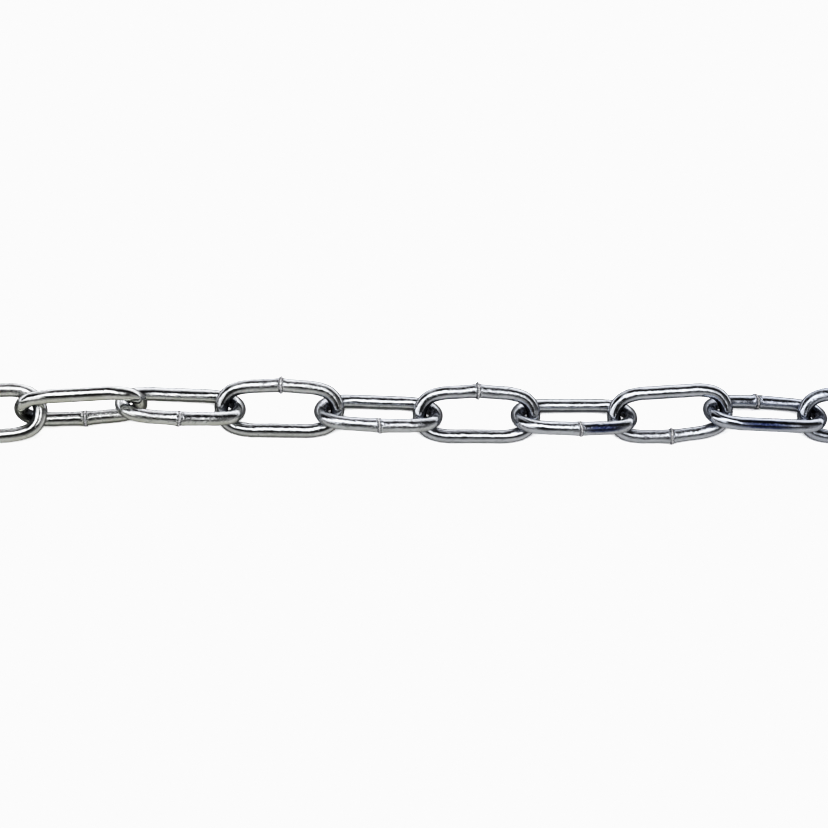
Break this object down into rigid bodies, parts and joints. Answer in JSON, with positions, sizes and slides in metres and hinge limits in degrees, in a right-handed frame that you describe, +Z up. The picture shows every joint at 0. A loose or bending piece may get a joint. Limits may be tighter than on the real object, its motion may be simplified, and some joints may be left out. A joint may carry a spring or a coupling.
{
  "type": "long-link steel chain",
  "caption": "Straight length of bright long-link steel chain: oval links of round wire, each butt-welded on one side, free to swing on one another.",
  "frame": {"origin": "middle of the chain's base, on the floor it lies on", "axes": "+X along the chain, +Y across it on the floor, +Z up"},
  "size_m": [0.9968, 0.024, 0.0216],
  "materials": {
    "zinc_plated_steel": "bright zinc plating over drawn wire, semi-gloss, with rough weld beads"
  },
  "bodies": {
    "link_01": {"link_01": "zinc_plated_steel"},
    "link_02": {"link_02": "zinc_plated_steel"},
    "link_03": {"link_03": "zinc_plated_steel"},
    "link_04": {"link_04": "zinc_plated_steel"},
    "link_05": {"link_05": "zinc_plated_steel"},
    "link_06": {"link_06": "zinc_plated_steel"},
    "link_07": {"link_07": "zinc_plated_steel"},
    "link_08": {"link_08": "zinc_plated_steel"},
    "link_09": {"link_09": "zinc_plated_steel"},
    "link_10": {"link_10": "zinc_plated_steel"},
    "link_11": {"link_11": "zinc_plated_steel"},
    "link_12": {"link_12": "zinc_plated_steel"},
    "link_13": {"link_13": "zinc_plated_steel"},
    "link_14": {"link_14": "zinc_plated_steel"},
    "link_15": {"link_15": "zinc_plated_steel"},
    "link_16": {"link_16": "zinc_plated_steel"},
    "link_17": {"link_17": "zinc_plated_steel"},
    "link_18": {"link_18": "zinc_plated_steel"},
    "link_19": {"link_19": "zinc_plated_steel"},
    "link_20": {"link_20": "zinc_plated_steel"},
    "link_21": {"link_21": "zinc_plated_steel"},
    "link_22": {"link_22": "zinc_plated_steel"},
    "link_23": {"link_23": "zinc_plated_steel"},
    "link_24": {"link_24": "zinc_plated_steel"},
    "link_25": {"link_25": "zinc_plated_steel"},
    "link_26": {"link_26": "zinc_plated_steel"},
    "link_27": {"link_27": "zinc_plated_steel"},
    "link_28": {"link_28": "zinc_plated_steel"},
    "link_29": {"link_29": "zinc_plated_steel"}
  },
  "joints": [
    {"name": "swing_01", "type": "hinge", "parent": "link_02", "child": "link_01", "pos_m": [-0.46183, 0.00162, 0.00661], "axis": [-0.0138, 0.559, -0.829], "range_deg": [-60, 60]},
    {"name": "swing_02", "type": "hinge", "parent": "link_03", "child": "link_02", "pos_m": [-0.42772, 0.00212, 0.00661], "axis": [0.0072, -0.5591, -0.829], "range_deg": [-60, 60]},
    {"name": "swing_03", "type": "hinge", "parent": "link_04", "child": "link_03", "pos_m": [-0.39361, 0.00208, 0.00661], "axis": [-0.0011, -0.5592, 0.829], "range_deg": [-60, 60]},
    {"name": "swing_04", "type": "hinge", "parent": "link_05", "child": "link_04", "pos_m": [-0.3595, 0.00152, 0.00661], "axis": [0.0091, 0.5591, 0.829], "range_deg": [-60, 60]},
    {"name": "swing_05", "type": "hinge", "parent": "link_06", "child": "link_05", "pos_m": [-0.32538, 0.00057, 0.00661], "axis": [0.015, 0.559, -0.829], "range_deg": [-60, 60]},
    {"name": "swing_06", "type": "hinge", "parent": "link_07", "child": "link_06", "pos_m": [-0.29126, -0.00054, 0.00661], "axis": [-0.0173, -0.5589, -0.829], "range_deg": [-60, 60]},
    {"name": "swing_07", "type": "hinge", "parent": "link_08", "child": "link_07", "pos_m": [-0.25715, -0.00155, 0.00661], "axis": [-0.0155, -0.559, 0.829], "range_deg": [-60, 60]},
    {"name": "swing_08", "type": "hinge", "parent": "link_09", "child": "link_08", "pos_m": [-0.22305, -0.00222, 0.00661], "axis": [0.01, 0.5591, 0.829], "range_deg": [-60, 60]},
    {"name": "swing_09", "type": "hinge", "parent": "link_10", "child": "link_09", "pos_m": [-0.18904, -0.00232, 0.00693], "axis": [0.0022, 0.5592, -0.829], "range_deg": [-60, 60]},
    {"name": "swing_10", "type": "hinge", "parent": "link_11", "child": "link_10", "pos_m": [-0.15541, -0.00252, 0.00663], "axis": [0.0031, -0.6018, -0.7986], "range_deg": [-60, 60]},
    {"name": "swing_11", "type": "hinge", "parent": "link_12", "child": "link_11", "pos_m": [-0.1221, -0.00058, 0.0102], "axis": [-0.0586, -0.4018, 0.9138], "range_deg": [-35, 60]},
    {"name": "swing_12", "type": "hinge", "parent": "link_13", "child": "link_12", "pos_m": [-0.08845, 0.00057, 0.01198], "axis": [-0.034, 0.9956, -0.0871], "range_deg": [-60, 60]},
    {"name": "swing_13", "type": "hinge", "parent": "link_14", "child": "link_13", "pos_m": [-0.05507, 0.00156, 0.00677], "axis": [0.1016, 0.5542, 0.8262], "range_deg": [-60, 60]},
    {"name": "swing_14", "type": "hinge", "parent": "link_15", "child": "link_14", "pos_m": [-0.021, 0.00028, 0.00661], "axis": [-0.0111, -0.5806, 0.8141], "range_deg": [-60, 40]},
    {"name": "swing_16", "type": "hinge", "parent": "link_15", "child": "link_16", "pos_m": [0.01876, -0.00132, 0.00661], "axis": [-0.0059, -0.5592, 0.829], "range_deg": [-60, 60]},
    {"name": "swing_17", "type": "hinge", "parent": "link_16", "child": "link_17", "pos_m": [0.05284, -0.00133, 0.00661], "axis": [0.0019, 0.5592, 0.829], "range_deg": [-60, 30]},
    {"name": "swing_18", "type": "hinge", "parent": "link_17", "child": "link_18", "pos_m": [0.08696, -0.00199, 0.00661], "axis": [0.019, 0.5606, -0.8279], "range_deg": [-60, 60]},
    {"name": "swing_19", "type": "hinge", "parent": "link_18", "child": "link_19", "pos_m": [0.12083, -0.00025, 0.0086], "axis": [-0.058, -0.5579, -0.8279], "range_deg": [-50, 60]},
    {"name": "swing_20", "type": "hinge", "parent": "link_19", "child": "link_20", "pos_m": [0.15479, -0.00194, 0.00648], "axis": [-0.0059, -0.5592, 0.829], "range_deg": [-40, 60]},
    {"name": "swing_21", "type": "hinge", "parent": "link_20", "child": "link_21", "pos_m": [0.18891, -0.00193, 0.00661], "axis": [0.0084, 0.5591, 0.829], "range_deg": [-60, 60]},
    {"name": "swing_22", "type": "hinge", "parent": "link_21", "child": "link_22", "pos_m": [0.22304, -0.00234, 0.00661], "axis": [0.0002, 0.5592, -0.829], "range_deg": [-60, 60]},
    {"name": "swing_23", "type": "hinge", "parent": "link_22", "child": "link_23", "pos_m": [0.25715, -0.00233, 0.00661], "axis": [0.0079, -0.5591, -0.829], "range_deg": [-60, 60]},
    {"name": "swing_24", "type": "hinge", "parent": "link_23", "child": "link_24", "pos_m": [0.29125, -0.00179, 0.00661], "axis": [0.0142, -0.559, 0.829], "range_deg": [-60, 60]},
    {"name": "swing_25", "type": "hinge", "parent": "link_24", "child": "link_25", "pos_m": [0.32536, -0.00086, 0.00661], "axis": [-0.0172, 0.5589, 0.829], "range_deg": [-60, 60]},
    {"name": "swing_26", "type": "hinge", "parent": "link_25", "child": "link_26", "pos_m": [0.35947, 0.00025, 0.00661], "axis": [-0.016, 0.559, -0.829], "range_deg": [-60, 60]},
    {"name": "swing_27", "type": "hinge", "parent": "link_26", "child": "link_27", "pos_m": [0.3936, 0.00127, 0.00661], "axis": [0.0111, -0.5591, -0.829], "range_deg": [-60, 60]},
    {"name": "swing_28", "type": "hinge", "parent": "link_27", "child": "link_28", "pos_m": [0.42772, 0.00196, 0.00661], "axis": [0.0035, -0.5592, 0.829], "range_deg": [-60, 60]},
    {"name": "swing_29", "type": "hinge", "parent": "link_28", "child": "link_29", "pos_m": [0.46183, 0.00216, 0.00661], "axis": [0.0049, 0.5592, 0.829], "range_deg": [-60, 60]}
  ]
}
